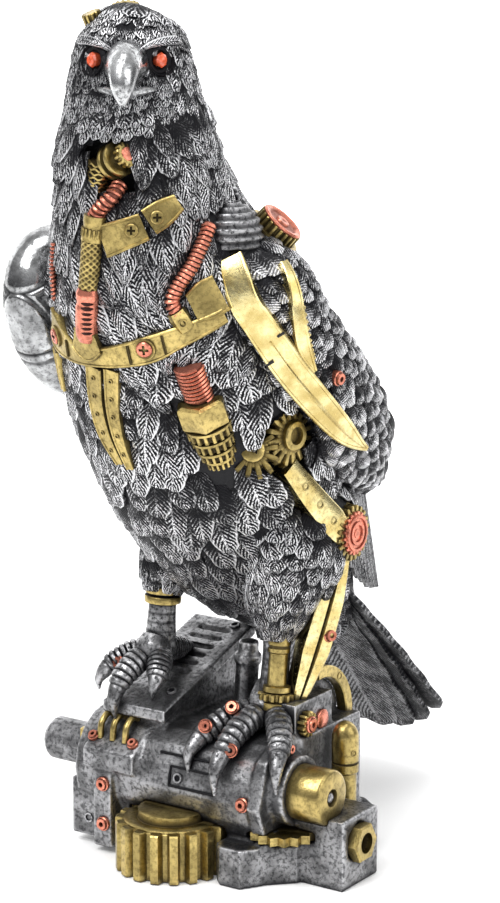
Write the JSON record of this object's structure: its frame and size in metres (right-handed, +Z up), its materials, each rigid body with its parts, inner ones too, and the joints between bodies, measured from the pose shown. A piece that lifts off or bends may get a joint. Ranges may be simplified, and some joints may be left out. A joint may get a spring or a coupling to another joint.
{
  "type": "steampunk eagle figurine",
  "caption": "Eagle with folded wings perched on a machine of barrels, gears and pipes, with brass and copper mechanical fittings let into its feathers.",
  "frame": {"origin": "middle of the machine's underside, between its left and right ends", "axes": "+Z up; the bird faces -Y and its left side is +X"},
  "size_m": [0.1323, 0.1958, 0.3022],
  "materials": {
    "antique_silver": "black undercoat dry-brushed with antique silver, bright on edges",
    "polished_silver": "bright silver paint with black in the lines",
    "antique_brass": "brass paint with a dark wash in the hollows",
    "pale_brass": "pale gold paint, brushed bright",
    "copper": "salmon-red copper paint with a dark wash",
    "blackened": "black paint, edges rubbed with silver",
    "red_stone": "faceted orange-red stone"
  },
  "bodies": {
    "root": {"base_gear": "antique_brass", "belly_strap_inner": "antique_brass", "belly_strap_outer": "antique_brass", "bevel_gear": "antique_brass", "braided_hose": "antique_brass", "breast_coil": "copper", "breast_plate": "antique_brass", "bullet_valve": "antique_brass", "casing_nut": "antique_brass", "chest_band": "antique_brass", "coil_fitting": "antique_brass", "crown_gear": "antique_brass", "crown_ring": "antique_brass", "eagle": "antique_silver", "eye_left": "red_stone", "eye_right": "red_stone", "flank_coil": "copper", "flank_strap": "antique_brass", "hose_capsule": "copper", "idler_gear": "antique_brass", "knee_wheel": "antique_brass", "leg_rod": "antique_brass", "machine_base": "antique_silver", "motor_cap": "antique_brass", "neck_gearbox": "antique_brass", "neck_plate_left": "antique_brass", "neck_plate_right": "antique_brass", "pinion": "antique_brass", "pipe_arch": "antique_brass", "shin_strut": "antique_brass", "shoulder_cog": "blackened", "shoulder_hub": "antique_brass", "thigh_bearing": "antique_brass", "thigh_coil": "copper", "thigh_nut": "antique_brass", "thigh_strut": "antique_brass", "throat_coil": "copper", "wing_blade": "pale_brass", "wing_blade_rear": "pale_brass", "wing_stud": "copper"}
  },
  "joints": []
}
